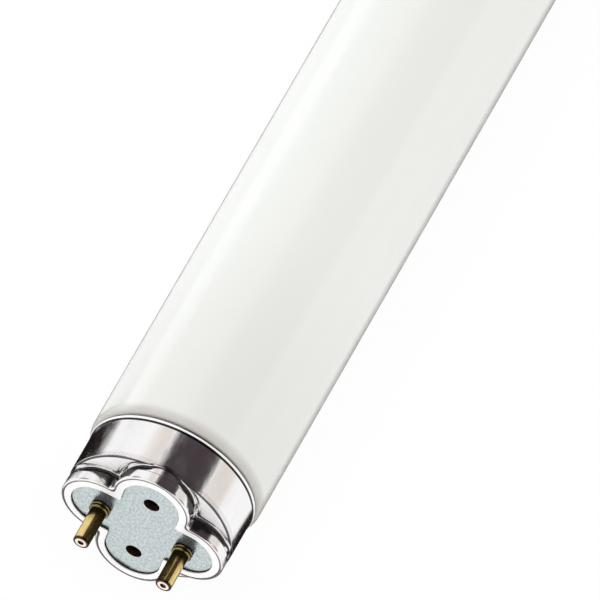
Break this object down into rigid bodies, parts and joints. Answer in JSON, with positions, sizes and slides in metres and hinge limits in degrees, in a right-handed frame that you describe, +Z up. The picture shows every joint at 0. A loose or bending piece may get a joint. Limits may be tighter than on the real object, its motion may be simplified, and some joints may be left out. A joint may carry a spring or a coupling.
{
  "type": "fluorescent tube",
  "caption": "Straight white fluorescent tube lamp with drawn aluminium end caps, lobed heads, insulating plates and hollow brass contact pins.",
  "frame": {"origin": "middle of the lamp, on the tube's axis", "axes": "+X along the tube, +Y across it in the plane of the pins, +Z up as the lamp lies on a table"},
  "size_m": [0.6024, 0.026, 0.026],
  "materials": {
    "coated_glass": "smooth clear glass over a dense white coat",
    "cap_aluminium": "bright drawn",
    "insulating_plate": "fine grey-blue speckle",
    "pin_brass": "bright drawn",
    "lead_wire": "copper-clad wire",
    "basing_cement": "baked, matt"
  },
  "bodies": {
    "root": {"glass_tube": "coated_glass", "left_cap_shell": "cap_aluminium", "left_pin_plate": "insulating_plate", "left_cement_ring": "basing_cement", "left_front_pin": "pin_brass", "left_front_lead": "lead_wire", "left_rear_pin": "pin_brass", "left_rear_lead": "lead_wire", "right_cap_shell": "cap_aluminium", "right_pin_plate": "insulating_plate", "right_cement_ring": "basing_cement", "right_front_pin": "pin_brass", "right_front_lead": "lead_wire", "right_rear_pin": "pin_brass", "right_rear_lead": "lead_wire"}
  },
  "joints": []
}
